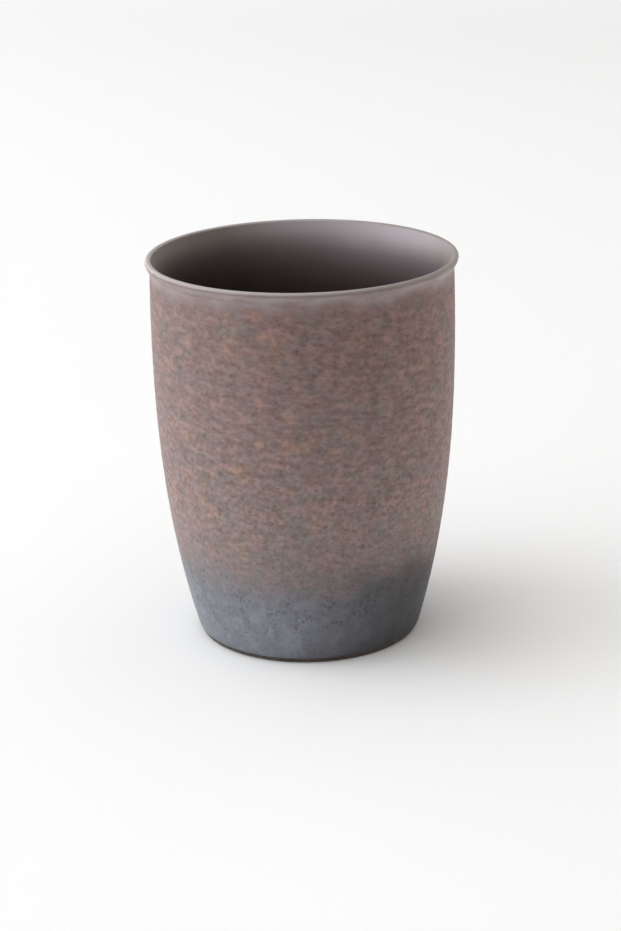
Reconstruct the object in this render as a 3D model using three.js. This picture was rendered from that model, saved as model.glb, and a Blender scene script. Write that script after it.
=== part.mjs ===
// Handleless stoneware cup: one thrown clay wall on a trimmed foot ring, with a liner glaze inside and over
// the lip, a mottled glaze outside and a second glaze round the base. Millimetres, +Z up, origin on the
// table under the middle of the foot.
import * as THREE from "three";

// Finished outside, measured over the glaze
const HEIGHT = 101; // table to the top of the lip
const RIM_DIAMETER = 80; // widest place, on the flared lip
const NECK_DIAMETER = 77.8; // where the flare starts
const FLARE_HEIGHT = 3.3; // top of the lip down to the neck
const NECK_LEAN = THREE.MathUtils.degToRad(1.3); // the wall closes in by this angle at the neck

// Clay
const FOOT_DIAMETER = 57.3; // where the line of the outer wall meets the table
const FOOT_LEAN = THREE.MathUtils.degToRad(16.2); // the wall opens out by this angle at the foot
const FOOT_ROUND = 0.8; // radius of the outer edge of the foot ring
const FOOT_RING_WIDTH = 4.5; // flat ring that stands on the table
const FOOT_RECESS = 1.6; // depth of the trimmed underside, and radius of its cove
const WALL_THICKNESS = 2.7;
const LIP_THICKNESS = 0.9;
const TAPER_DEPTH = 18; // the wall thins to the lip over this depth below the top
const LIP_LEAN = THREE.MathUtils.degToRad(28); // the inner face opens out by this angle at the lip
const FLOOR_HEIGHT = 5.5; // table to the floor inside
const INNER_CORNER = 9; // reach of the curve from wall to floor, along the floor and up the wall

// Glaze
const GLAZE_THICKNESS = 0.35;
const BARE_FOOT = 0.7; // clay left bare above the round of the foot
const BASE_BAND_TOP = 22; // table to the top of the glaze round the base
const COLLAR_DEPTH = 4.6; // the liner glaze runs this far down the outside from the top

// Facets: steps along each stretch of the section, and round the axis
const TURN_STEPS = 48;
const FOOT_STEPS = 3;
const BASE_BAND_STEPS = 4;
const OUTER_STEPS = 9;
const COLLAR_STEPS = 5;
const LIP_STEPS = 3; // on each side of the top
const TAPER_STEPS = 6;
const INNER_STEPS = 7;
const CORNER_STEPS = 4;

// Finishes, as fired
const BARE_CLAY = { color: 0x3b312c, roughness: 0.85, metalness: 0 };
const SATIN_LINER = { color: 0x5a504d, roughness: 0.45, metalness: 0 };
const MATT_RUST = { color: 0x7d6860, roughness: 0.7, metalness: 0 };
const SATIN_BLUE_GREY = { color: 0x5f6168, roughness: 0.5, metalness: 0 };

// A point of the clay's section, with the unit normal that points out of the clay
const station = (r, z, nr, nz) => ({ r, z, nr, nz });
const clayPoint = (s) => new THREE.Vector2(s.r, s.z);
const glazePoint = (s) => new THREE.Vector2(s.r + GLAZE_THICKNESS * s.nr, s.z + GLAZE_THICKNESS * s.nz);
const steps = (count, make) => Array.from({ length: count + 1 }, (_, i) => make(i / count));

// Cubic r(z) between two heights, each end with its own radius and slope dr/dz
function cubic(z0, r0, slope0, z1, r1, slope1) {
  const rise = z1 - z0;
  return (z) => {
    const t = (z - z0) / rise;
    const r =
      r0 * (2 * t ** 3 - 3 * t ** 2 + 1) +
      rise * slope0 * (t ** 3 - 2 * t ** 2 + t) +
      r1 * (3 * t ** 2 - 2 * t ** 3) +
      rise * slope1 * (t ** 3 - t ** 2);
    const slope =
      ((r1 - r0) * 6 * (t - t ** 2)) / rise +
      slope0 * (3 * t ** 2 - 4 * t + 1) +
      slope1 * (3 * t ** 2 - 2 * t);
    return { r, slope };
  };
}

// Foot: the round of the outer edge touches the table and the wall
const footSlope = Math.tan(FOOT_LEAN);
const footTop = FOOT_ROUND * (1 - Math.sin(FOOT_LEAN));
const footTopRadius = FOOT_DIAMETER / 2 + footSlope * footTop;
const footCentre = footTopRadius - FOOT_ROUND * Math.cos(FOOT_LEAN);
const ringInner = footCentre - FOOT_RING_WIDTH;

// Lip: a round of the clay's lip thickness, under the glaze
const lipRound = LIP_THICKNESS / 2;
const lipHeight = HEIGHT - GLAZE_THICKNESS - lipRound;
const lipCentre = RIM_DIAMETER / 2 - GLAZE_THICKNESS - lipRound;

// Outer face: the wall from foot to neck, then the flare from neck to lip
const neckHeight = HEIGHT - FLARE_HEIGHT;
const neckRadius = NECK_DIAMETER / 2 - GLAZE_THICKNESS;
const neckSlope = -Math.tan(NECK_LEAN);
const wall = cubic(footTop, footTopRadius, footSlope, neckHeight, neckRadius, neckSlope);
const flare = cubic(neckHeight, neckRadius, neckSlope, lipHeight, lipCentre + lipRound, 0);

function outerFace(z) {
  const { r, slope } = z < neckHeight ? wall(z) : flare(z);
  const length = Math.hypot(1, slope);
  return station(r, z, 1 / length, -slope / length);
}

const outerStretch = (low, high, count) => steps(count, (t) => outerFace(low + t * (high - low)));

// Inner face: the wall at its full thickness, then a taper that opens out to the lip
function innerFace(z) {
  const s = outerFace(z);
  return station(s.r - WALL_THICKNESS * s.nr, s.z - WALL_THICKNESS * s.nz, -s.nr, -s.nz);
}

const taperFoot = innerFace(HEIGHT - TAPER_DEPTH);
const taperTopRadius = lipCentre - lipRound * Math.cos(LIP_LEAN);
const taperTop = lipHeight + lipRound * Math.sin(LIP_LEAN);
const taperFootSlope = -taperFoot.nz / taperFoot.nr;
const taper = cubic(taperFoot.z, taperFoot.r, taperFootSlope, taperTop, taperTopRadius, Math.tan(LIP_LEAN));

function taperFace(z) {
  const { r, slope } = taper(z);
  const length = Math.hypot(1, slope);
  return station(r, z, -1 / length, slope / length);
}

// Inside corner: a curve that leaves the wall and lands flat on the floor
const cornerTop = innerFace(FLOOR_HEIGHT + INNER_CORNER);
const cornerTopSlope = -cornerTop.nz / cornerTop.nr;
const cornerApex = cornerTop.r - cornerTopSlope * (cornerTop.z - FLOOR_HEIGHT);
const cornerCurve = new THREE.QuadraticBezierCurve(
  clayPoint(cornerTop),
  new THREE.Vector2(cornerApex, FLOOR_HEIGHT),
  new THREE.Vector2(cornerApex - INNER_CORNER, FLOOR_HEIGHT),
);

function cornerFace(t) {
  const p = cornerCurve.getPoint(t);
  const along = cornerCurve.getTangent(t);
  return station(p.x, p.y, along.y, -along.x);
}

// The section's stretches, in order from the middle of the underside round to the middle of the floor
const underside = [
  station(0, FOOT_RECESS, 0, -1),
  ...steps(FOOT_STEPS, (t) => {
    const turn = ((1 - t) * Math.PI) / 2;
    const r = ringInner - FOOT_RECESS * (1 - Math.cos(turn));
    return station(r, FOOT_RECESS * Math.sin(turn), -Math.cos(turn), -Math.sin(turn));
  }),
];
const footEdge = steps(FOOT_STEPS, (t) => {
  const turn = -Math.PI / 2 + t * (Math.PI / 2 - FOOT_LEAN);
  const nr = Math.cos(turn);
  const nz = Math.sin(turn);
  return station(footCentre + FOOT_ROUND * nr, FOOT_ROUND * (1 + nz), nr, nz);
});
const glazeLine = footTop + BARE_FOOT;
const collarLine = HEIGHT - COLLAR_DEPTH;
const baseBand = outerStretch(glazeLine, BASE_BAND_TOP, BASE_BAND_STEPS);
const outerWall = outerStretch(BASE_BAND_TOP, collarLine, OUTER_STEPS);
const collar = outerStretch(collarLine, lipHeight, COLLAR_STEPS);
const lipArc = (from, to) =>
  steps(LIP_STEPS, (t) => {
    const turn = from + t * (to - from);
    const nr = Math.cos(turn);
    const nz = Math.sin(turn);
    return station(lipCentre + lipRound * nr, lipHeight + lipRound * nz, nr, nz);
  });
const lipOuter = lipArc(0, Math.PI / 2);
const lipInner = lipArc(Math.PI / 2, Math.PI - LIP_LEAN);
const innerTaper = steps(TAPER_STEPS, (t) => taperFace(taperTop + t * (taperFoot.z - taperTop)));
const innerWall = steps(INNER_STEPS, (t) =>
  innerFace(HEIGHT - TAPER_DEPTH + t * (FLOOR_HEIGHT + INNER_CORNER - HEIGHT + TAPER_DEPTH)),
);
const innerCorner = steps(CORNER_STEPS, cornerFace);
const floorMiddle = [station(0, FLOOR_HEIGHT, 0, 1)];

// Neighbouring stretches share their end points, so each one after the first drops its own
const joined = (...stretches) => stretches.flatMap((stretch, i) => (i === 0 ? stretch : stretch.slice(1)));
const lined = [...joined(collar, lipOuter, lipInner, innerTaper, innerWall, innerCorner), ...floorMiddle];
const claySection = [...underside, ...footEdge, ...joined(baseBand, outerWall, lined)];

// Closed sections: a coat lies on the clay's own points and stands one glaze thickness off them
const coatSection = (stretch) => [...stretch.map(clayPoint).reverse(), ...stretch.map(glazePoint)];
const bandSection = (stretch) => [...coatSection(stretch), clayPoint(stretch.at(-1))];

function turned(name, section, finish) {
  const geometry = new THREE.LatheGeometry(section, TURN_STEPS);
  const mesh = new THREE.Mesh(geometry, new THREE.MeshStandardMaterial(finish));
  mesh.name = name;
  return mesh;
}

const cup = new THREE.Group();
cup.rotation.x = Math.PI / 2; // the sections are turned about Y, and the cup stands along Z
cup.add(
  turned("stoneware_body", claySection.map(clayPoint), BARE_CLAY),
  turned("liner_glaze", coatSection(lined), SATIN_LINER),
  turned("outer_glaze", bandSection(outerWall), MATT_RUST),
  turned("base_glaze", bandSection(baseBand), SATIN_BLUE_GREY),
);

export default cup;
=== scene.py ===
"""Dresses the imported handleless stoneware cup: finely turned pieces, fired glazes, stage and camera."""
import math

import bpy
import numpy as np
from bpy.props import FloatProperty, FloatVectorProperty, PointerProperty
from mathutils import Matrix, Vector


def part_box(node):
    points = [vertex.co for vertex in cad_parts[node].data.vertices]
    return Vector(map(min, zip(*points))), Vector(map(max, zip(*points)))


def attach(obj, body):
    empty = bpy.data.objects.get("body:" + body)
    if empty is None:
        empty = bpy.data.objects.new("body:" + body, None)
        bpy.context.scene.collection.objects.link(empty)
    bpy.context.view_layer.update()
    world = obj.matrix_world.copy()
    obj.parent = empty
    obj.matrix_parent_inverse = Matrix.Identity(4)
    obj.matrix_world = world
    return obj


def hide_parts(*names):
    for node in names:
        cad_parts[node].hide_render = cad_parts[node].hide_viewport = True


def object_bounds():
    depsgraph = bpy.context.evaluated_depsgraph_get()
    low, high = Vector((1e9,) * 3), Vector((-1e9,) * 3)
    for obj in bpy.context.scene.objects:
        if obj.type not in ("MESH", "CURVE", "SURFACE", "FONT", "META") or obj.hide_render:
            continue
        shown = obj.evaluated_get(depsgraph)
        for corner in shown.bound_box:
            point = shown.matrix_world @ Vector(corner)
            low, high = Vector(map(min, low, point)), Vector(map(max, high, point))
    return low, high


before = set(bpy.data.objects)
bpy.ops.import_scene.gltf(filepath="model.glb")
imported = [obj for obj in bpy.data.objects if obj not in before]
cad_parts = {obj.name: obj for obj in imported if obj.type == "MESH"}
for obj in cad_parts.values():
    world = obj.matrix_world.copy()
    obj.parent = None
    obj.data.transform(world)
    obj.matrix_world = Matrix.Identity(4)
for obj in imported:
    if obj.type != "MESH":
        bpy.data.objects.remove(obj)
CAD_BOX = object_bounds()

bl_info = {
    "name": "Stoneware cup",
    "version": (1, 0, 0),
    "blender": (4, 5, 0),
    "location": "3D View > Sidebar > Stoneware cup",
    "description": "Turns and glazes a handleless stoneware cup over its CAD solids",
    "category": "Add Mesh",
}

MM = 0.001

# Camera, fitted to the outline of the cup in the reference picture
IMAGE_HEIGHT = 931
FOCAL_PIXELS = 2300.0
SENSOR = 36.0  # millimetres along the picture's long side
CAMERA_AT = Vector((1.12, -571.9, 241.3)) * MM
CAMERA_PITCH = math.radians(19.047)
CAMERA_ROLL = math.radians(-1.24)

# Stage
FLOOR_REACH = 1.6  # metres from the cup to each edge of the floor
FLOOR_WHITE = 0.04  # share of the backdrop's white in the floor round the cup
BACKDROP = 0.95  # brightness of the white behind the cup
FACED = Vector((0, 0, 50)) * MM  # the middle of the cup, which every lamp faces
DAYLIGHT = (0.955, 0.98, 1.0)

# Turning
TOUCH = 1e-6  # metres within which two CAD points are one
CORNER = math.radians(40)  # a sharper turn of the section stays a corner
FINE_TURN = math.radians(9)  # the section turns by no more than this from row to row
COARSE_TURN = math.radians(20)
DENSE = 24  # points for each CAD step, from which the rows are picked
GLAZE_COLUMNS = 560
LINER_COLUMNS = 400
CLAY_COLUMNS = 256
CLAY_SPACING = 0.8 * MM  # from row to row
LINER_SPACING = 0.85 * MM
WALL_SPACING = 0.46 * MM
BASE_SPACING = 0.42 * MM
HIDDEN_SPACING = 4 * MM  # on the faces that lie on the clay

# Noise round the wall
NOISE_RADIUS = 38 * MM  # of the wall, where the cells have their full length
NOISE_LEVELS = 400  # rows of cells before it repeats
NOISE_GAIN = 1.5  # brings it to about -1 to 1
SMOOTH_LIP = 3.2 * MM  # no ripples and no pits this far down from the top
PAINTED_SHADE_SHARE = 0.88  # the most that a glaze takes on the painted shade of its side away from the windows

# Heights on the cup, from its CAD solids
RIM_Z = CAD_BOX[1].z
COLLAR_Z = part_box("outer_glaze")[1].z
BAND_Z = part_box("base_glaze")[1].z
GLAZE_FOOT_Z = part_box("base_glaze")[0].z

# Glazes
GLAZE_IOR = 1.5  # typical of fired glazes and clay
GUNMETAL_SKIN = 0.6  # share of metal in the skin of the base glaze
LUSTRE = 0.1  # share of metal in the liner glaze, inside the cup
GLAZE_EDGE = 0.3 * MM  # how far the base glaze thins out at its lower edge
PAINTED_LIGHT_SIDE = (math.cos(math.radians(62)), math.sin(math.radians(62)), 0.0)  # side of the inside that takes painted light, the back right, which the windows on the left light
PAINTED_LIGHT_GAIN = (1.42, 1.42, 1.47)  # painted light and sheen: gain of the liner's colour on that side
PAINTED_SHADE_GAIN = (0.62, 0.56, 0.48)  # painted shade: gain round the rest of the cup

# Heights between which the outer glazes change
GROUND_TURNS = (30 * MM, 85 * MM)  # from grey to mauve
SPOTS_START = (23 * MM, 38 * MM)
# painted shade: the wall darkens below these heights, most on the +X side
PAINTED_BELT_SHADE_ENDS = (22 * MM, 37 * MM)
PITS_DARKEN = (5 * MM, 16 * MM)
# painted shade at the foot of the base glaze, most on the +X side
PAINTED_FOOT_SHADE_ENDS = (0.5 * MM, 8 * MM)
EDGE_SHADE_ENDS = (20 * MM, 14 * MM)  # downwards from the upper edge of the base glaze

# Distances past the top of the lip between which the liner glaze changes, inside above 0 and outside below
# the liner darkens deeper in: partly the glaze's dark brown and partly painted shade
LINER_DEEPENS = (3 * MM, 22 * MM)
LINER_POOLS = (24 * MM, 60 * MM)
# partly thin glaze and partly a painted sheen just below the lip
LINER_THIN_AND_SHEEN = (8 * MM, 0.5 * MM)
OUTSIDE_STARTS = (0.5 * MM, -0.5 * MM)
# painted shade: a dark line under the lip
UNDER_LIP_SHADE_STARTS = (-1.5 * MM, -0.9 * MM)
# the pale lip: partly the glaze breaking thin and partly a painted highlight
LIP_STARTS = (-0.7 * MM, -0.25 * MM)
LIP_ENDS = (0.5 * MM, 0.1 * MM)
LUSTRE_STARTS = (-0.2 * MM, 0.8 * MM)


def linear(code):
    """Linear RGB of an sRGB hex colour."""
    channels = [int(code[i : i + 2], 16) / 255 for i in (1, 3, 5)]
    return tuple(c / 12.92 if c <= 0.04045 else ((c + 0.055) / 1.055) ** 2.4 for c in channels)


def length_property(name, description, millimetres):
    """A length that a user can change, kept in metres."""
    return FloatProperty(
        name=name, description=description, default=millimetres * MM, min=0.0, unit="LENGTH", precision=5
    )


def colour_property(name, description, code):
    """A colour that a user can change, written in sRGB and kept linear."""
    return FloatVectorProperty(
        name=name, description=description, default=linear(code), min=0.0, max=1.0, size=3, subtype="COLOR"
    )


class CupSizes(bpy.types.PropertyGroup):
    """Surface detail of the cup."""

    ripple_width: length_property("Ripple width", "Height of one ripple of the matt glaze on the wall", 1.0)
    ripple_length: length_property("Ripple length", "Length of one ripple round the wall", 1.9)
    grain_width: length_property("Grain width", "Width of one grain of the matt glaze low on the wall", 1.3)
    cloud_width: length_property("Cloud width", "Width of the wider dark and pale clouds on the wall", 6.5)
    ripple_height: length_property("Ripple height", "How far the ripples stand up or sink in", 0.045)
    pit_width: length_property("Pit width", "Width of the pits in the glaze round the base", 0.9)
    pit_depth: length_property("Pit depth", "Depth of those pits", 0.05)
    throwing_pitch: length_property("Throwing ring pitch", "Rise of the throwing rings for each turn", 5.5)
    throwing_height: length_property("Throwing ring height", "How far the throwing rings stand up", 0.03)
    trimming_pitch: length_property("Trimming ring pitch", "Spacing of the tool marks under the foot", 1.6)
    trimming_depth: length_property("Trimming ring depth", "Depth of the tool marks under the foot", 0.12)
    band_wander: length_property("Band wander", "How far the upper edge of the base glaze strays", 8.0)
    collar_wander: length_property("Collar wander", "How far the lower edge of the collar strays", 3.0)
    glaze_foot_round: length_property(
        "Glaze edge round",
        "Height over which the glaze thins out to its edge",
        0.7,
    )


class CupColours(bpy.types.PropertyGroup):
    """Colours of the cup and its stage: fired colours, and some that hold painted light and shade."""

    clay: colour_property("Clay", "Bare fired stoneware of the foot", "#3b322b")
    clay_grit: colour_property("Clay grit", "Grit in the bare clay", "#7a6a5c")
    # partly thin glaze and partly a painted sheen just below the lip
    liner_thin_and_sheen: colour_property("Thin liner", "Satin glaze inside the cup, just below the lip", "#7e7778")
    liner: colour_property("Liner", "Satin glaze inside the cup, further down", "#645c5d")
    # partly the glaze's dark brown and partly painted shade deep in the cup
    liner_deep_and_shade: colour_property("Deep liner", "Satin glaze inside the cup, a thumb's width down", "#332520")
    liner_pool: colour_property("Pooled liner", "Satin glaze gathered in the bottom of the cup", "#5c4d48")
    collar: colour_property("Collar", "Liner glaze run thin outside, below the lip", "#8f8482")
    # partly the glaze breaking thin over the lip and partly a painted highlight
    lip: colour_property("Lip", "Where the liner glaze breaks thin over the lip", "#9a918f")
    # painted shade on the lip's +X side, away from the windows
    lip_painted_shade: colour_property("Lee lip", "The lip on the side away from the flame", "#766c67")
    mauve: colour_property("Mauve", "Ground of the matt glaze, high on the wall", "#6b5553")
    mauve_low: colour_property("Low mauve", "Ground of the matt glaze, low on the wall", "#7a6c6a")
    grey: colour_property("Grey", "Cool clouds in the matt glaze", "#65635d")
    ochre: colour_property("Ochre", "Ochre spots in the matt glaze", "#8f6e5b")
    pink: colour_property("Pink", "Pink spots in the matt glaze", "#876463")
    fleck: colour_property("Fleck", "Dark flecks in the matt glaze", "#4a372f")
    gunmetal: colour_property("Gunmetal", "Ground of the satin glaze round the base", "#777980")
    gunmetal_pale: colour_property("Pale gunmetal", "Pale clouds in the base glaze", "#83858c")
    # painted shade: the base glaze on the +X side, away from the windows
    gunmetal_painted_shade: colour_property("Lee gunmetal", "Base glaze on the side away from the flame", "#373434")
    pit: colour_property("Pit", "Dark pits in the base glaze", "#3c363a")
    floor: colour_property("Floor", "Matt white card that the cup stands on", "#f8f8f8")


# Sections: traced from the CAD nodes, made smooth and cut into rows


def traced(node_name):
    """The node's section in the half plane of +X as points (radius, height), with the solid on the left."""
    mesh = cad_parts[node_name].data
    places = np.empty(len(mesh.vertices) * 3, np.float32)
    mesh.vertices.foreach_get("co", places)
    places = places.reshape(-1, 3).astype(float)
    ends = np.empty(len(mesh.edges) * 2, np.int32)
    mesh.edges.foreach_get("vertices", ends)
    ends = ends.reshape(-1, 2)
    in_plane = (np.abs(places[:, 1]) < TOUCH) & (places[:, 0] > -TOUCH)
    keys = [tuple(key) for key in np.round(places[:, [0, 2]] / TOUCH).astype(int)]
    beside = {}
    for a, b in ends[in_plane[ends].all(axis=1)]:
        if keys[a] != keys[b]:
            beside.setdefault(keys[a], set()).add(keys[b])
            beside.setdefault(keys[b], set()).add(keys[a])
    loose = sorted(key for key, near in beside.items() if len(near) == 1)
    path = [loose[0] if loose else min(beside)]
    while True:
        following = [key for key in sorted(beside[path[-1]]) if key not in path[-2:] and key != path[0]]
        if not following or len(path) > len(beside):
            break
        path.append(following[0])
    if len(path) != len(beside):
        raise RuntimeError(f"the section of {node_name} is not one line")
    points = np.array(path) * TOUCH
    following = np.roll(points, -1, axis=0)
    area = np.sum(points[:, 0] * following[:, 1] - following[:, 0] * points[:, 1])
    return (points if area > 0 else points[::-1]), not loose


def runs(points, closed):
    """The section cut at its corners into smooth runs, each with both its end points."""
    steps = np.diff(points, axis=0, append=points[:1])
    heading = np.arctan2(steps[:, 1], steps[:, 0])
    turn = (heading - np.roll(heading, 1) + math.pi) % math.tau - math.pi
    corners = np.flatnonzero(np.abs(turn) > CORNER)
    if closed:
        points = np.roll(points, -corners[0], axis=0)
        points = np.vstack([points, points[:1]])
        cuts = [*(corners - corners[0]), len(points) - 1]
    else:
        cuts = [0, *(c for c in corners if 0 < c < len(points) - 1), len(points) - 1]
    return [points[a : b + 1] for a, b in zip(cuts, cuts[1:])]


def with_short_steps(points):
    """The run with extra points on its long steps, so that no flat swells beside a curve."""
    lengths = np.hypot(*np.diff(points, axis=0).T)
    made = [points[0]]
    for i, length in enumerate(lengths):
        along = (points[i + 1] - points[i]) / length
        before = lengths[max(i - 1, 0)]
        after = lengths[min(i + 1, len(lengths) - 1)]
        if length > 2 * before:
            made.append(points[i] + along * before)
        if length > 2 * after:
            made.append(points[i + 1] - along * after)
        made.append(points[i + 1])
    return np.array(made)


def smooth_rows(points, spacing, fine_turn):
    """Rows along a smooth curve through the run, spacing apart and closer where the curve turns."""
    if len(points) == 2:
        count = max(1, math.ceil(np.hypot(*(points[1] - points[0])) / spacing))
        return points[0] + np.linspace(0, 1, count + 1)[:, None] * (points[1] - points[0])
    points = with_short_steps(points)
    gaps = np.hypot(*np.diff(points, axis=0).T)[:, None]
    slopes = np.diff(points, axis=0) / gaps
    inner = (slopes[:-1] * gaps[1:] + slopes[1:] * gaps[:-1]) / (gaps[:-1] + gaps[1:])
    tangents = np.vstack([2 * slopes[:1] - inner[:1], inner, 2 * slopes[-1:] - inner[-1:]])
    t = np.linspace(0, 1, DENSE, endpoint=False)[:, None]
    dense = [
        (2 * t**3 - 3 * t**2 + 1) * points[i]
        + (t**3 - 2 * t**2 + t) * gaps[i] * tangents[i]
        + (3 * t**2 - 2 * t**3) * points[i + 1]
        + (t**3 - t**2) * gaps[i] * tangents[i + 1]
        for i in range(len(gaps))
    ]
    dense = np.vstack([*dense, points[-1:]])
    steps = np.diff(dense, axis=0)
    heading = np.unwrap(np.arctan2(steps[:, 1], steps[:, 0]))
    turns = np.abs(np.diff(heading, prepend=heading[0]))
    cost = np.concatenate([[0], np.cumsum(np.hypot(*steps.T) / spacing + turns / fine_turn)])
    wanted = np.linspace(0, cost[-1], math.ceil(cost[-1]) + 1)
    return np.stack([np.interp(wanted, cost, dense[:, axis]) for axis in (0, 1)], axis=1)


def on_section(points, section):
    """Whether each point is also a point of the other section."""
    gaps = np.abs(points[:, None, :] - section[None, :, :]).max(axis=2)
    return gaps.min(axis=1) < 2 * TOUCH


def turned_rows(node_name, spacing, hidden_spacing=None):
    """Rows of the node's section, which of them show, and whether the section is closed.

    A run that lies on the clay is hidden, and takes the wider spacing."""
    points, closed = traced(node_name)
    clay = traced("stoneware_body")[0] if hidden_spacing else None
    rows = []
    shown = []
    for run in runs(points, closed):
        hidden = clay is not None and on_section(run, clay).all()
        fine = smooth_rows(run, hidden_spacing if hidden else spacing, COARSE_TURN if hidden else FINE_TURN)
        joint = len(run) == 2 and clay is not None
        rows.append(fine[:-1])
        shown.append(np.full(len(fine) - 1, not hidden and not joint))
        if not shown[-1][0]:
            # The first row also ends the run before
            shown[-1][0] = len(shown) > 1 and shown[-2][-1]
    if not closed:
        rows.append(points[-1:])
        shown.append(np.array([shown[-1][-1]]))
    rows = np.clip(np.vstack(rows), points.min(axis=0), points.max(axis=0))
    return rows, np.concatenate(shown), closed


def row_normals(rows, closed):
    """Unit normals of the rows, out of the solid."""
    if closed:
        along = np.roll(rows, -1, axis=0) - np.roll(rows, 1, axis=0)
    else:
        along = np.gradient(rows, axis=0)
        along[[0, -1], 1] = 0
    along /= np.hypot(*along.T)[:, None]
    return np.stack([along[:, 1], -along[:, 0]], axis=1)


def turn_of(columns):
    """Angle of each column."""
    return np.arange(columns) * math.tau / columns


def turned_piece(name, rows, closed, columns, relief, tones, material):
    """A mesh turned about Z from the rows, with relief along the rows' normals and tones by point."""
    turn = turn_of(columns)
    normals = row_normals(rows, closed)
    radius = rows[:, :1] + relief * normals[:, :1]
    height = rows[:, 1:] + relief * normals[:, 1:]
    places = np.stack([radius * np.cos(turn), radius * np.sin(turn), height], axis=2)
    kept = np.ones(relief.shape, bool)
    if not closed:
        # The first and the last row lie on the axis, where one point stands for the row
        kept[[0, -1], 1:] = False
    index = np.cumsum(kept).reshape(kept.shape) - 1
    below = index if closed else index[:-1]
    above = np.roll(index, -1, axis=0) if closed else index[1:]
    quads = np.stack([below, np.roll(below, -1, axis=1), np.roll(above, -1, axis=1), above], axis=2)
    faces = [list(dict.fromkeys(quad)) for quad in quads.reshape(-1, 4).tolist()]
    mesh = bpy.data.meshes.new(name)
    mesh.from_pydata(places[kept].tolist(), [], faces)
    for tone, values in tones.items():
        attribute = mesh.attributes.new(tone, "FLOAT", "POINT")
        attribute.data.foreach_set("value", np.broadcast_to(values, relief.shape)[kept].astype(np.float32))
    piece = bpy.data.objects.new(name, mesh)
    bpy.context.scene.collection.objects.link(piece)
    mesh.polygons.foreach_set("use_smooth", np.ones(len(mesh.polygons), bool))
    mesh.set_sharp_from_angle(angle=CORNER)
    mesh.materials.append(material)
    mesh.validate()
    return piece


# Relief


def smooth_step(value, start, end):
    """0 at start, 1 at end, and smooth between."""
    t = np.clip((value - start) / (end - start), 0, 1)
    return t * t * (3 - 2 * t)


def wall_noise(height, turn, across, up, drop, seed):
    """Seamless gradient noise round the wall, from about -1 to 1, for each height and turn.

    Its cells are across long and up high, and their rows go down by drop cells for each turn."""
    count = max(4, round(math.tau * NOISE_RADIUS / across))
    rng = np.random.default_rng(seed)
    angle = rng.uniform(0, math.tau, (count, NOISE_LEVELS))
    u = turn[None, :] * count / math.tau + 0 * height[:, None]
    v = height[:, None] / up + turn[None, :] * drop / math.tau
    i = np.floor(u).astype(int)
    j = np.floor(v).astype(int)
    fu = u - i
    fv = v - j

    def corner(di, dj):
        lap = (i + di) // count
        grain = angle[(i + di) % count, (j + dj - drop * lap) % NOISE_LEVELS]
        return np.cos(grain) * (fu - di) + np.sin(grain) * (fv - dj)

    su = fu**3 * (6 * fu**2 - 15 * fu + 10)
    sv = fv**3 * (6 * fv**2 - 15 * fv + 10)
    low = corner(0, 0) * (1 - su) + corner(1, 0) * su
    high = corner(0, 1) * (1 - su) + corner(1, 1) * su
    return NOISE_GAIN * (low * (1 - sv) + high * sv)


def wall_ripple(height, turn, sizes):
    """Tone of the glaze on the outside of the wall: drawn-out ripples high up, round grains lower down."""
    calm = smooth_step(height, RIM_Z - SMOOTH_LIP, RIM_Z - 9 * MM)
    strength = calm * (0.45 + 0.55 * smooth_step(height, 22 * MM, 58 * MM))
    drawn = smooth_step(height, 42 * MM, 84 * MM)[:, None]
    across = sizes.ripple_length
    up = sizes.ripple_width
    ripple = wall_noise(height, turn, across, up, drop=36, seed=11)
    ripple += 0.6 * wall_noise(height, turn, across / 1.9, up / 1.5, drop=40, seed=12)
    width = sizes.grain_width
    grain = wall_noise(height, turn, width, width, drop=9, seed=14)
    grain += 0.6 * wall_noise(height, turn, width / 1.7, width / 1.7, drop=17, seed=15)
    width = sizes.cloud_width
    clouds = 0.85 * wall_noise(height, turn, width / 1.6, width / 4.5, drop=20, seed=13)
    clouds += 0.15 * wall_noise(height, turn, width, width, drop=8, seed=16)
    return (ripple * drawn + grain * (1 - drawn) + clouds) * strength[:, None]


def wall_pits(height, turn, sizes):
    """How deep each point of the outside is in a pit, from 0 to 1."""
    many = 1 - 0.8 * smooth_step(height, BAND_Z - 2 * MM, BAND_Z + 10 * MM)
    calm = smooth_step(height, RIM_Z - SMOOTH_LIP, RIM_Z - 8 * MM)
    width = sizes.pit_width
    pits = wall_noise(height, turn, width, width, drop=3, seed=21)
    pits += 0.7 * wall_noise(height, turn, 3 * width, 3 * width, drop=5, seed=22)
    return smooth_step(pits, 0.25, 0.85) * (many * calm)[:, None]


def wall_relief(height, turn, sizes):
    """Relief of the outside, in metres, and the tones that its colours follow.

    The painted shade side is the side turned away from the windows, on +X, where the glazes are darkened as
    painted shade."""
    ripple = wall_ripple(height, turn, sizes)
    pit = wall_pits(height, turn, sizes)
    # painted shade: strongest on +X, the side away from the windows
    painted_shade_side = PAINTED_SHADE_SHARE * smooth_step(np.cos(turn), -0.5, 1.0)[None, :]
    tones = {"ripple": ripple, "pit": pit, "rise": height[:, None], "painted_shade_side": painted_shade_side}
    return sizes.ripple_height * ripple - sizes.pit_depth * pit, tones


# Materials


def node(tree, kind, inputs=None, **settings):
    """Adds a node with its settings, and sets or links its inputs."""
    made = tree.nodes.new(kind)
    for name, value in settings.items():
        setattr(made, name, value)
    for socket, value in (inputs or {}).items():
        if isinstance(value, bpy.types.NodeSocket):
            tree.links.new(value, made.inputs[socket])
        else:
            made.inputs[socket].default_value = value
    return made


def opaque(colour):
    """A colour with full alpha, as a colour socket takes it."""
    return (*colour, 1.0)


def emptied(owner):
    """The node tree of a new material or world, with nothing in it."""
    owner.use_nodes = True
    owner.node_tree.nodes.clear()
    return owner.node_tree


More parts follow.
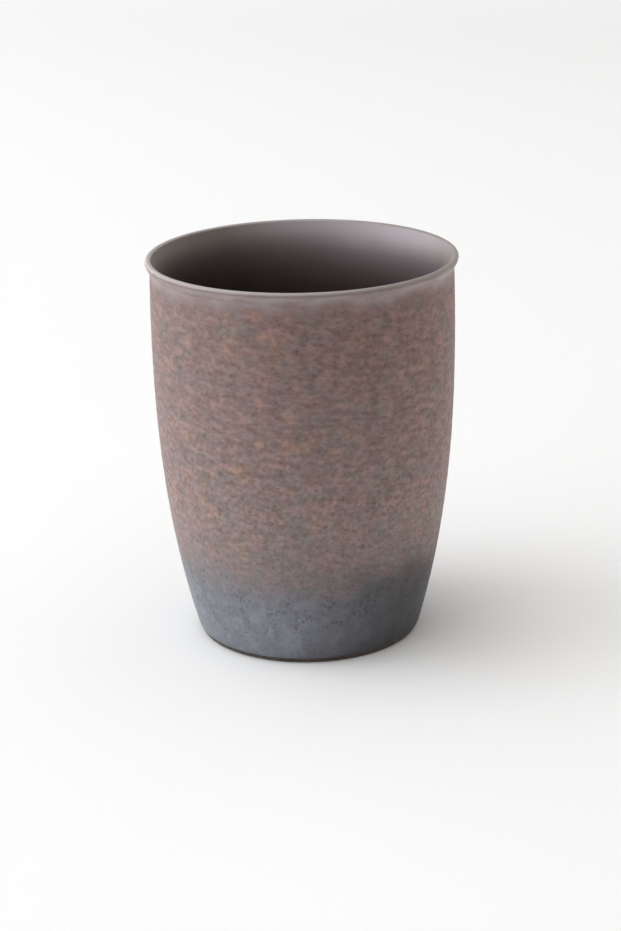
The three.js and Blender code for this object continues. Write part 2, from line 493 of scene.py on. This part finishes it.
def speckle(tree, at, size, low, high, detail=2.0):
    """Spots of about size across: 1 where the noise is above high, 0 where it is below low."""
    noise = node(tree, "ShaderNodeTexNoise", {"Vector": at, "Scale": 1 / size, "Detail": detail})
    return node(
        tree,
        "ShaderNodeMapRange",
        {"Value": noise.outputs["Fac"], "From Min": low, "From Max": high},
        interpolation_type="SMOOTHSTEP",
    ).outputs["Result"]


def by_height(tree, start, end, low=0.0, high=1.0):
    """low at the height start, high at the height end, even between and steady beyond."""
    rise = node(tree, "ShaderNodeAttribute", attribute_name="rise").outputs["Fac"]
    heights = {"Value": rise, "From Min": start, "From Max": end, "To Min": low, "To Max": high}
    return node(tree, "ShaderNodeMapRange", heights).outputs["Result"]


def past_lip(tree, start, end, most=1.0):
    """0 at the distance start past the top of the lip, most at end, smooth between and steady beyond."""
    rise = node(tree, "ShaderNodeAttribute", attribute_name="rise").outputs["Fac"]
    return node(
        tree,
        "ShaderNodeMapRange",
        {"Value": rise, "From Min": RIM_Z + start, "From Max": RIM_Z + end, "To Max": most},
        interpolation_type="SMOOTHSTEP",
    ).outputs["Result"]


def matt_wall_glaze(tree, at, colours):
    """Colour, roughness, metal and grain of the matt iron glaze on the wall.

    It was sprayed on thick and dry, so it hardly shines. Its mauve-brown ground greys towards the base,
    with cool clouds, pink spots, and swarms of ochre spots where the iron gathered, faded on the +X side
    as painted shade. Dark flecks lie in the dips between the ripples. A belt above the base is darkened
    with painted shade, most on the +X side, away from the windows."""
    painted_shade_side = node(tree, "ShaderNodeAttribute", attribute_name="painted_shade_side").outputs["Fac"]
    ripple = node(tree, "ShaderNodeAttribute", attribute_name="ripple").outputs["Fac"]
    pit = node(tree, "ShaderNodeAttribute", attribute_name="pit").outputs["Fac"]
    broad = node(
        tree, "ShaderNodeVectorMath", {0: at, 1: (0.85, 0.85, 1.0)}, operation="MULTIPLY"
    ).outputs[0]
    swarms = speckle(tree, broad, 15 * MM, 0.36, 0.6)
    swarms = node(tree, "ShaderNodeMapRange", {"Value": swarms, "To Min": 0.3}).outputs["Result"]
    # painted shade: fewer ochre spots on the +X side, away from the windows
    painted_spot_shade = node(tree, "ShaderNodeMath", {0: painted_shade_side, 1: -0.6, 2: 1.0}, operation="MULTIPLY_ADD").outputs[0]
    spots = speckle(tree, broad, 4.0 * MM, 0.46, 0.74)
    for share in (swarms, painted_spot_shade, by_height(tree, *SPOTS_START)):
        spots = node(tree, "ShaderNodeMath", {0: spots, 1: share}, operation="MULTIPLY").outputs[0]
    ground = {0: by_height(tree, *GROUND_TURNS), 6: opaque(colours.mauve_low), 7: opaque(colours.mauve)}
    colour = node(tree, "ShaderNodeMix", ground, data_type="RGBA").outputs[2]
    patch_gain = by_height(tree, *GROUND_TURNS, 1.16, 0.86)
    patches = (
        (speckle(tree, broad, 4.6 * MM, 0.4, 0.7, 3.0), 0.5, colours.grey),
        (speckle(tree, broad, 3.4 * MM, 0.44, 0.76), 0.5, colours.pink),
        (spots, 0.62, colours.ochre),
    )
    for patch, most, tint in patches:
        share = node(tree, "ShaderNodeMath", {0: patch, 1: most}, operation="MULTIPLY").outputs[0]
        toned = node(tree, "ShaderNodeVectorMath", {0: tuple(tint), "Scale": patch_gain}, operation="SCALE")
        mixed = {0: share, 6: colour, 7: toned.outputs["Vector"]}
        colour = node(tree, "ShaderNodeMix", mixed, data_type="RGBA").outputs[2]
    drawn_out = node(
        tree, "ShaderNodeVectorMath", {0: at, 1: (0.6, 0.6, 1.0)}, operation="MULTIPLY"
    ).outputs[0]
    fleck = speckle(tree, drawn_out, 0.62 * MM, 0.45, 0.75, 3.0)
    dips = node(tree, "ShaderNodeMapRange", {"Value": ripple, "From Min": 0.3, "From Max": -0.9})
    dark = dips.outputs["Result"]
    for mark, most in ((fleck, 0.9), (pit, 0.5)):
        dark = node(tree, "ShaderNodeMath", {0: mark, 1: most, 2: dark}, operation="MULTIPLY_ADD").outputs[0]
    dark = node(tree, "ShaderNodeMath", {0: dark, 1: 0.47}, operation="MULTIPLY", use_clamp=True).outputs[0]
    mixed = {0: dark, 6: colour, 7: opaque(colours.fleck)}
    colour = node(tree, "ShaderNodeMix", mixed, data_type="RGBA").outputs[2]
    crests = node(tree, "ShaderNodeMapRange", {"Value": ripple, "To Min": 1.11, "To Max": 1.38})
    # painted shade: a belt above the base, darker on the +X side, away from the windows
    painted_belt_shade = node(tree, "ShaderNodeMath", {0: painted_shade_side, 1: -0.3, 2: 0.92}, operation="MULTIPLY_ADD").outputs[0]
    for gain in (crests.outputs["Result"], by_height(tree, *PAINTED_BELT_SHADE_ENDS, painted_belt_shade)):
        scaled = node(tree, "ShaderNodeVectorMath", {0: colour, "Scale": gain}, operation="SCALE")
        colour = scaled.outputs["Vector"]
    rough = node(tree, "ShaderNodeMapRange", {"Value": fleck, "To Min": 0.6, "To Max": 0.72})
    grain = node(tree, "ShaderNodeTexNoise", {"Vector": drawn_out, "Scale": 1 / (0.45 * MM), "Detail": 2.0})
    return colour, rough.outputs["Result"], 0.0, grain.outputs["Fac"]


def satin_base_glaze(tree, at, colours):
    """Colour, roughness, metal and grain of the satin blue-grey glaze round the base.

    The kiln reduced it to a gunmetal skin, cool and a little shiny, with pale clouds. Painted shade darkens
    it on the +X side, away from the windows, and at the foot, most on that side; it is also darker along its
    upper edge. Its brown-black pits lie in clusters, and are fainter at the foot."""
    painted_shade_side = node(tree, "ShaderNodeAttribute", attribute_name="painted_shade_side").outputs["Fac"]
    pit = node(tree, "ShaderNodeAttribute", attribute_name="pit").outputs["Fac"]
    cells = node(tree, "ShaderNodeTexVoronoi", {"Vector": at, "Scale": 1 / (1.1 * MM)})
    dark = node(
        tree,
        "ShaderNodeMapRange",
        {"Value": cells.outputs["Distance"], "From Min": 0.68, "From Max": 0.1},
        interpolation_type="SMOOTHSTEP",
    ).outputs["Result"]
    clusters = speckle(tree, at, 4.5 * MM, 0.4, 0.62)
    dark = node(tree, "ShaderNodeMath", {0: dark, 1: clusters}, operation="MULTIPLY").outputs[0]
    dark = node(tree, "ShaderNodeMath", {0: pit, 1: 0.6, 2: dark}, operation="MULTIPLY_ADD").outputs[0]
    most = by_height(tree, *PITS_DARKEN, 0.26, 0.5)
    dark = node(tree, "ShaderNodeMath", {0: dark, 1: most}, operation="MULTIPLY", use_clamp=True).outputs[0]
    colour = opaque(colours.gunmetal)
    layers = (
        (speckle(tree, at, 3.6 * MM, 0.42, 0.66, 3.0), colours.gunmetal_pale),
        # painted shade: the base glaze darkens on the +X side, away from the windows
        (painted_shade_side, colours.gunmetal_painted_shade),
        (dark, colours.pit),
    )
    for share, tint in layers:
        mixed = {0: share, 6: colour, 7: opaque(tint)}
        colour = node(tree, "ShaderNodeMix", mixed, data_type="RGBA").outputs[2]
    # painted contact shadow: darker at the foot, most on the +X side
    painted_foot_shade = node(tree, "ShaderNodeMath", {0: painted_shade_side, 1: -0.4, 2: 0.95}, operation="MULTIPLY_ADD").outputs[0]
    for gain in (by_height(tree, *PAINTED_FOOT_SHADE_ENDS, painted_foot_shade), by_height(tree, *EDGE_SHADE_ENDS, 0.9)):
        scaled = node(tree, "ShaderNodeVectorMath", {0: colour, "Scale": gain}, operation="SCALE")
        colour = scaled.outputs["Vector"]
    rough = node(tree, "ShaderNodeMapRange", {"Value": dark, "To Min": 0.48, "To Max": 0.66})
    grain = node(tree, "ShaderNodeTexNoise", {"Vector": at, "Scale": 1 / (0.6 * MM), "Detail": 2.0})
    return colour, rough.outputs["Result"], GUNMETAL_SKIN, grain.outputs["Fac"]


def satin_liner_glaze(tree, at, colours):
    """Colour, roughness, metal and grain of the satin liner glaze inside, over the lip and on the collar.

    It was poured in and out again, and ran smooth. Inside it has a faint lustre: pale grey below the lip,
    partly a painted sheen, dark brown further down, partly painted shade, and paler where it gathered in the
    bottom.
    Painted light makes it paler on the back right of the inside, where the windows on the left light it, and
    painted shade makes it darker round the rest. Outside it ran thin and dull, with smears of the wall
    glaze.
    The lip is pale, partly where the glaze breaks thin and partly a painted highlight, and darker on the +X
    side with painted shade. The dark line below the lip is painted shade."""
    colour = opaque(colours.liner)
    depths = (
        # partly painted shade deep inside the cup
        (past_lip(tree, *LINER_DEEPENS), colours.liner_deep_and_shade),
        (past_lip(tree, *LINER_POOLS), colours.liner_pool),
        # partly a painted sheen just below the lip
        (past_lip(tree, *LINER_THIN_AND_SHEEN), colours.liner_thin_and_sheen),
    )
    for share, tint in depths:
        mixed = {0: share, 6: colour, 7: opaque(tint)}
        colour = node(tree, "ShaderNodeMix", mixed, data_type="RGBA").outputs[2]
    # painted light on the back right of the inside, where the windows on the left light it, and painted
    # shade round the rest
    toward_painted_light = node(tree, "ShaderNodeVectorMath", {0: at, 1: PAINTED_LIGHT_SIDE}, operation="DOT_PRODUCT")
    thin = node(
        tree,
        "ShaderNodeMapRange",
        {"Value": toward_painted_light.outputs["Value"], "From Min": 15 * MM, "From Max": 38 * MM},
        interpolation_type="SMOOTHSTEP",
    ).outputs["Result"]
    painted_light_and_shade = {0: thin, 6: opaque(PAINTED_SHADE_GAIN), 7: opaque(PAINTED_LIGHT_GAIN)}
    coat = node(tree, "ShaderNodeMix", painted_light_and_shade, data_type="RGBA").outputs[2]
    lit_and_shaded = {0: 1.0, 6: colour, 7: coat}
    colour = node(tree, "ShaderNodeMix", lit_and_shaded, data_type="RGBA", blend_type="MULTIPLY").outputs[2]
    drawn_out = node(
        tree, "ShaderNodeVectorMath", {0: at, 1: (0.3, 0.3, 1.0)}, operation="MULTIPLY"
    ).outputs[0]
    smears = speckle(tree, drawn_out, 2.0 * MM, 0.35, 0.75, 4.0)
    smears = node(tree, "ShaderNodeMath", {0: smears, 1: 0.55}, operation="MULTIPLY").outputs[0]
    smeared = {0: smears, 6: opaque(colours.collar), 7: opaque(colours.mauve)}
    collar = node(tree, "ShaderNodeMix", smeared, data_type="RGBA").outputs[2]
    painted_shade_side = node(tree, "ShaderNodeAttribute", attribute_name="painted_shade_side").outputs["Fac"]
    # painted shade on the lip's +X side, away from the windows
    edge = {0: painted_shade_side, 6: opaque(colours.lip), 7: opaque(colours.lip_painted_shade)}
    lip = node(tree, "ShaderNodeMix", edge, data_type="RGBA").outputs[2]
    outside = past_lip(tree, *OUTSIDE_STARTS)
    # painted shade: a dark line under the lip's overhang
    below = past_lip(tree, *UNDER_LIP_SHADE_STARTS, 0.4)
    painted_lip_shade = node(tree, "ShaderNodeMath", {0: outside, 1: below}, operation="MULTIPLY").outputs[0]
    # the pale lip: partly the glaze breaking thin and partly a painted highlight
    outer_lip = past_lip(tree, *LIP_STARTS)
    inner_lip = past_lip(tree, *LIP_ENDS)
    on_lip = node(tree, "ShaderNodeMath", {0: outer_lip, 1: inner_lip}, operation="MULTIPLY").outputs[0]
    for share, layer in ((outside, collar), (painted_lip_shade, opaque(colours.fleck)), (on_lip, lip)):
        colour = node(tree, "ShaderNodeMix", {0: share, 6: colour, 7: layer}, data_type="RGBA").outputs[2]
    clouds = speckle(tree, at, 6.0 * MM, 0.38, 0.66, 4.0)
    rough = node(tree, "ShaderNodeMapRange", {"Value": clouds, "To Min": 0.48, "To Max": 0.55})
    lustre = past_lip(tree, *LUSTRE_STARTS, LUSTRE)
    grain = node(tree, "ShaderNodeTexNoise", {"Vector": at, "Scale": 1 / (0.8 * MM), "Detail": 2.0})
    return colour, rough.outputs["Result"], lustre, grain.outputs["Fac"]


def glaze_line(tree, at, line, wander, soft, size):
    """0 below a line round the cup and 1 above it, where two glazes ran into each other in lumps."""
    rise = node(tree, "ShaderNodeAttribute", attribute_name="rise").outputs["Fac"]
    flat = node(tree, "ShaderNodeVectorMath", {0: at, 1: (0.7, 0.7, 1.0)}, operation="MULTIPLY").outputs[0]
    noise = {"Vector": flat, "Scale": 1 / size, "Detail": 5.0, "Roughness": 0.6}
    lumps = node(tree, "ShaderNodeTexNoise", noise).outputs["Fac"]
    stray = node(tree, "ShaderNodeMath", {0: lumps, 1: 0.5}, operation="SUBTRACT").outputs[0]
    strayed = {0: stray, 1: 2 * wander, 2: rise}
    edge = node(tree, "ShaderNodeMath", strayed, operation="MULTIPLY_ADD").outputs[0]
    return node(
        tree,
        "ShaderNodeMapRange",
        {"Value": edge, "From Min": line - soft, "From Max": line + soft},
        interpolation_type="SMOOTHSTEP",
    ).outputs["Result"]


def glaze_material(name, lowest, lines, grain_depth):
    """A fired glaze on one coat, from its lowest finish and the lines above which others take over.

    Each line is a finish, its height, how far it strays, how soft it is and the size of its lumps."""
    colours = bpy.context.scene.cup_colours
    material = bpy.data.materials.new(name)
    tree = emptied(material)
    at = node(tree, "ShaderNodeTexCoord").outputs["Object"]
    colour, *surface = lowest(tree, at, colours)
    for finish, line, wander, soft, size in lines:
        share = glaze_line(tree, at, line, wander, soft, size)
        above, *surface_above = finish(tree, at, colours)
        colour = node(tree, "ShaderNodeMix", {0: share, 6: colour, 7: above}, data_type="RGBA").outputs[2]
        surface = [
            node(tree, "ShaderNodeMix", {0: share, 2: low, 3: high}).outputs[0]
            for low, high in zip(surface, surface_above)
        ]
    rough, metal, grain = surface
    bump = node(tree, "ShaderNodeBump", {"Strength": 1.0, "Distance": grain_depth, "Height": grain})
    shader = node(
        tree,
        "ShaderNodeBsdfPrincipled",
        {
            "Base Color": colour,
            "Roughness": rough,
            "Metallic": metal,
            "IOR": GLAZE_IOR,
            "Normal": bump.outputs[0],
        },
    )
    node(tree, "ShaderNodeOutputMaterial", {"Surface": shader.outputs[0]})
    return material


def band_line(finish):
    """The line between the base glaze and the wall glaze."""
    return (finish, BAND_Z + 0.8 * MM, bpy.context.scene.cup_sizes.band_wander, 6.5 * MM, 6.5 * MM)


def collar_line(finish):
    """The line between the wall glaze and the liner glaze."""
    return (finish, COLLAR_Z + 0.8 * MM, bpy.context.scene.cup_sizes.collar_wander, 2.6 * MM, 4.5 * MM)


def bare_clay_material():
    """Bare vitrified stoneware: dark, dry and gritty, with a dull warm tone.

    Its grit is drawn coarser than the sand in real clay, so that it shows."""
    colours = bpy.context.scene.cup_colours
    material = bpy.data.materials.new("bare_fired_stoneware")
    tree = emptied(material)
    at = node(tree, "ShaderNodeTexCoord").outputs["Object"]
    grit = speckle(tree, at, 0.7 * MM, 0.6, 0.7)
    share = node(tree, "ShaderNodeMath", {0: grit, 1: 0.6}, operation="MULTIPLY").outputs[0]
    mixed = {0: share, 6: opaque(colours.clay), 7: opaque(colours.clay_grit)}
    colour = node(tree, "ShaderNodeMix", mixed, data_type="RGBA").outputs[2]
    toast = speckle(tree, at, 9.0 * MM, 0.35, 0.65, 4.0)
    gain = node(tree, "ShaderNodeMapRange", {"Value": toast, "To Min": 0.85, "To Max": 1.2})
    toned = node(
        tree, "ShaderNodeVectorMath", {0: colour, "Scale": gain.outputs["Result"]}, operation="SCALE"
    )
    grain = node(tree, "ShaderNodeTexNoise", {"Vector": at, "Scale": 1 / (0.35 * MM), "Detail": 3.0})
    relief = {"Strength": 1.0, "Distance": 0.08 * MM, "Height": grain.outputs["Fac"]}
    bump = node(tree, "ShaderNodeBump", relief)
    rough = node(tree, "ShaderNodeMapRange", {"Value": grit, "To Min": 0.86, "To Max": 0.75})
    shader = node(
        tree,
        "ShaderNodeBsdfPrincipled",
        {
            "Base Color": toned.outputs["Vector"],
            "Roughness": rough.outputs["Result"],
            "IOR": GLAZE_IOR,
            "Normal": bump.outputs[0],
        },
    )
    node(tree, "ShaderNodeOutputMaterial", {"Surface": shader.outputs[0]})
    return material


# Operators


class CUP_OT_clay_body(bpy.types.Operator):
    """Turn the clay cup, with tool marks under its foot"""

    bl_idname = "cup.clay_body"
    bl_label = "Clay body"

    def execute(self, context):
        sizes = context.scene.cup_sizes
        rows, _, closed = turned_rows("stoneware_body", CLAY_SPACING)
        turn = turn_of(CLAY_COLUMNS)
        radius, height = rows.T
        under = row_normals(rows, closed)[:, 1] < -0.7
        recess = smooth_step(height, 0.6 * MM, 1.3 * MM) * under
        spiral = radius[:, None] / sizes.trimming_pitch + turn[None, :] / math.tau
        marks = -np.abs(np.sin(math.pi * spiral)) * recess[:, None] * smooth_step(radius, 0, 3 * MM)[:, None]
        relief = sizes.trimming_depth * marks
        piece = turned_piece("cup_clay_body", rows, closed, CLAY_COLUMNS, relief, {}, bare_clay_material())
        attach(piece, "root")
        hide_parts("stoneware_body")
        return {"FINISHED"}


class CUP_OT_liner_glaze(bpy.types.Operator):
    """Pour the satin liner glaze inside the cup, over the lip and on the collar"""

    bl_idname = "cup.liner_glaze"
    bl_label = "Liner glaze"

    def execute(self, context):
        sizes = context.scene.cup_sizes
        rows, shown, closed = turned_rows("liner_glaze", LINER_SPACING, HIDDEN_SPACING)
        turn = turn_of(LINER_COLUMNS)
        radius, height = rows.T
        outside = shown & (row_normals(rows, closed)[:, 0] > 0.3) & (height > COLLAR_Z - MM)
        inside = shown & ~outside
        relief, tones = wall_relief(height, turn, sizes)
        relief *= outside[:, None]
        tones["ripple"] *= outside[:, None]
        tones["pit"] *= outside[:, None]
        # The rise of the glaze goes on past the top of the lip and down the inside
        passed = np.arange(len(rows)) > np.argmax(height)
        tones["rise"] = np.where(passed, 2 * RIM_Z - height, height)[:, None]
        lift = height[:, None] / sizes.throwing_pitch - turn[None, :] / math.tau
        calm = smooth_step(height, RIM_Z - 12 * MM, RIM_Z - 30 * MM) * smooth_step(radius, 12 * MM, 26 * MM)
        relief += sizes.throwing_height * np.sin(math.tau * lift) * (calm * inside)[:, None]
        lines = [collar_line(satin_liner_glaze)]
        material = glaze_material(
            "satin_liner_stoneware_glaze", matt_wall_glaze, lines, grain_depth=0.008 * MM
        )
        piece = turned_piece("cup_liner_glaze", rows, closed, LINER_COLUMNS, relief, tones, material)
        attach(piece, "root")
        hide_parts("liner_glaze")
        return {"FINISHED"}


class CUP_OT_wall_glaze(bpy.types.Operator):
    """Spray the rippled matt glaze on the wall"""

    bl_idname = "cup.wall_glaze"
    bl_label = "Wall glaze"

    def execute(self, context):
        sizes = context.scene.cup_sizes
        rows, shown, closed = turned_rows("outer_glaze", WALL_SPACING, 2 * HIDDEN_SPACING)
        relief, tones = wall_relief(rows[:, 1], turn_of(GLAZE_COLUMNS), sizes)
        relief *= shown[:, None]
        lines = [band_line(matt_wall_glaze), collar_line(satin_liner_glaze)]
        material = glaze_material(
            "matt_iron_stoneware_glaze", satin_base_glaze, lines, grain_depth=0.03 * MM
        )
        piece = turned_piece("cup_wall_glaze", rows, closed, GLAZE_COLUMNS, relief, tones, material)
        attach(piece, "root")
        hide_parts("outer_glaze")
        return {"FINISHED"}


class CUP_OT_base_glaze(bpy.types.Operator):
    """Dip the base in the pitted blue-grey glaze, down to its edge above the foot"""

    bl_idname = "cup.base_glaze"
    bl_label = "Base glaze"

    def execute(self, context):
        sizes = context.scene.cup_sizes
        rows, shown, closed = turned_rows("base_glaze", BASE_SPACING, HIDDEN_SPACING)
        turn = turn_of(GLAZE_COLUMNS)
        height = rows[:, 1]
        relief, tones = wall_relief(height, turn, sizes)
        above = np.clip((height - GLAZE_FOOT_Z) / sizes.glaze_foot_round, 0, 1)
        thinned = 1 - np.sqrt(1 - (1 - above) ** 2)
        relief = (relief * above[:, None] - GLAZE_EDGE * thinned[:, None]) * shown[:, None]
        lines = [band_line(matt_wall_glaze)]
        material = glaze_material(
            "satin_gunmetal_stoneware_glaze", satin_base_glaze, lines, grain_depth=0.02 * MM
        )
        piece = turned_piece("cup_base_glaze", rows, closed, GLAZE_COLUMNS, relief, tones, material)
        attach(piece, "root")
        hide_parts("base_glaze")
        return {"FINISHED"}


class CUP_OT_stage(bpy.types.Operator):
    """Set the white floor, the soft light from the left and the camera"""

    bl_idname = "cup.stage"
    bl_label = "Stage"

    def execute(self, context):
        scene = context.scene
        scene.view_settings.view_transform = "Standard"
        self.lay_floor(scene)
        self.light(scene)
        self.place_camera(scene)
        return {"FINISHED"}

    def seen(self, tree):
        """1 for what the camera sees, in a shine or through glass too, and 0 for what lights the scene."""
        rays = node(tree, "ShaderNodeLightPath").outputs
        seen = rays["Is Camera Ray"]
        for kind in ("Is Glossy Ray", "Is Transmission Ray"):
            seen = node(tree, "ShaderNodeMath", {0: seen, 1: rays[kind]}, operation="MAXIMUM").outputs[0]
        return seen

    def lay_floor(self, scene):
        """A wide sheet of matt white card, which fades into the white behind it before its edges."""
        mesh = bpy.data.meshes.new("white_card_floor")
        signs = ((-1, -1, 0), (1, -1, 0), (1, 1, 0), (-1, 1, 0))
        mesh.from_pydata([FLOOR_REACH * Vector(sign) for sign in signs], [], [(0, 1, 2, 3)])
        material = bpy.data.materials.new("matt_white_card")
        tree = emptied(material)
        card = node(tree, "ShaderNodeBsdfDiffuse", {"Color": opaque(scene.cup_colours.floor)})
        white = node(tree, "ShaderNodeEmission", {"Color": (1.0, 1.0, 1.0, 1.0), "Strength": BACKDROP})
        at = node(tree, "ShaderNodeTexCoord").outputs["Object"]
        away = node(tree, "ShaderNodeVectorMath", {0: at}, operation="LENGTH").outputs["Value"]
        fade = node(
            tree,
            "ShaderNodeMapRange",
            {
                "Value": away,
                "From Min": 0.6 * FLOOR_REACH,
                "From Max": 0.97 * FLOOR_REACH,
                "To Min": FLOOR_WHITE,
            },
            interpolation_type="SMOOTHSTEP",
        ).outputs["Result"]
        share = node(tree, "ShaderNodeMath", {0: self.seen(tree), 1: fade}, operation="MULTIPLY").outputs[0]
        surface = node(tree, "ShaderNodeMixShader", {0: share, 1: card.outputs[0], 2: white.outputs[0]})
        node(tree, "ShaderNodeOutputMaterial", {"Surface": surface.outputs[0]})
        mesh.materials.append(material)
        floor = bpy.data.objects.new("white_card_floor", mesh)
        scene.collection.objects.link(floor)

    def light(self, scene):
        """A white room with windows on the left, a skylight, a ceiling and a low pale wall on the right."""
        world = bpy.data.worlds.new("white_room")
        tree = emptied(world)
        fill = node(tree, "ShaderNodeBackground", {"Color": (1.0, 0.96, 0.92, 1.0), "Strength": 0.02})
        white = node(tree, "ShaderNodeBackground", {"Color": (1.0, 1.0, 1.0, 1.0), "Strength": BACKDROP})
        shown = {0: self.seen(tree), 1: fill.outputs[0], 2: white.outputs[0]}
        room = node(tree, "ShaderNodeMixShader", shown)
        node(tree, "ShaderNodeOutputWorld", {"Surface": room.outputs[0]})
        scene.world = world
        # Each lamp's name, place and size in metres, watts, colour, and whether it shows in a shine
        lamps = (
            ("front_window", (-2.05, -0.8, 0.58), (3.0, 1.1), 32.0, DAYLIGHT, True),
            ("back_window", (-1.8, 1.4, 0.58), (3.0, 1.1), 18.0, DAYLIGHT, True),
            ("low_window", (-2.2, 0.0, 0.25), (4.4, 0.45), 26.0, DAYLIGHT, True),
            ("skylight", (-1.4, 0.0, 2.4), (1.6, 3.2), 29.5, (0.97, 0.985, 1.0), True),
            ("ceiling", (0.0, 0.0, 2.4), (3.2, 5.2), 57.0, (1.0, 0.985, 0.965), True),
            ("white_wall", (2.2, 0.3, 0.2), (3.0, 0.35), 36.0, (1.0, 0.965, 0.92), False),
        )
        for name, place, size, watts, colour, in_shine in lamps:
            lamp = bpy.data.lights.new(name, "AREA")
            lamp.shape = "RECTANGLE"
            lamp.size, lamp.size_y = size
            lamp.energy = watts
            lamp.color = colour
            panel = bpy.data.objects.new(name, lamp)
            panel.location = place
            panel.visible_glossy = in_shine
            panel.rotation_euler = (FACED - panel.location).to_track_quat("-Z", "Y").to_euler()
            scene.collection.objects.link(panel)

    def place_camera(self, scene):
        """The reference picture's camera."""
        lens = bpy.data.cameras.new("camera")
        lens.sensor_fit = "VERTICAL"
        lens.sensor_height = SENSOR
        lens.lens = FOCAL_PIXELS * SENSOR / IMAGE_HEIGHT
        forward = Vector((0, math.cos(CAMERA_PITCH), -math.sin(CAMERA_PITCH)))
        level = Vector((1, 0, 0))
        upright = level.cross(forward)
        right = math.cos(CAMERA_ROLL) * level + math.sin(CAMERA_ROLL) * upright
        up = math.cos(CAMERA_ROLL) * upright - math.sin(CAMERA_ROLL) * level
        turn = Matrix((right, up, -forward)).transposed()
        camera = bpy.data.objects.new("camera", lens)
        camera.matrix_world = Matrix.Translation(CAMERA_AT) @ turn.to_4x4()
        scene.collection.objects.link(camera)
        scene.camera = camera


class CUP_PT_workshop(bpy.types.Panel):
    """Sizes, colours and steps of the cup"""

    bl_idname = "CUP_PT_workshop"
    bl_label = "Stoneware cup"
    bl_space_type = "VIEW_3D"
    bl_region_type = "UI"
    bl_category = "Stoneware cup"

    def draw(self, context):
        for step in STEPS:
            self.layout.operator(step.bl_idname)
        for group in (context.scene.cup_sizes, context.scene.cup_colours):
            box = self.layout.box()
            for name in group.__annotations__:
                box.prop(group, name)


STEPS = (CUP_OT_stage, CUP_OT_clay_body, CUP_OT_liner_glaze, CUP_OT_wall_glaze, CUP_OT_base_glaze)
CLASSES = (CupSizes, CupColours, *STEPS, CUP_PT_workshop)


def register():
    """Adds the classes, and the properties on the scene."""
    for made in CLASSES:
        bpy.utils.register_class(made)
    bpy.types.Scene.cup_sizes = PointerProperty(type=CupSizes)
    bpy.types.Scene.cup_colours = PointerProperty(type=CupColours)


def unregister():
    """Takes away what register adds."""
    del bpy.types.Scene.cup_colours
    del bpy.types.Scene.cup_sizes
    for made in reversed(CLASSES):
        bpy.utils.unregister_class(made)


def main():
    """Makes the stage and the cup."""
    register()
    bpy.ops.cup.stage()
    bpy.ops.cup.clay_body()
    bpy.ops.cup.liner_glaze()
    bpy.ops.cup.wall_glaze()
    bpy.ops.cup.base_glaze()


if __name__ == "__main__":
    main()
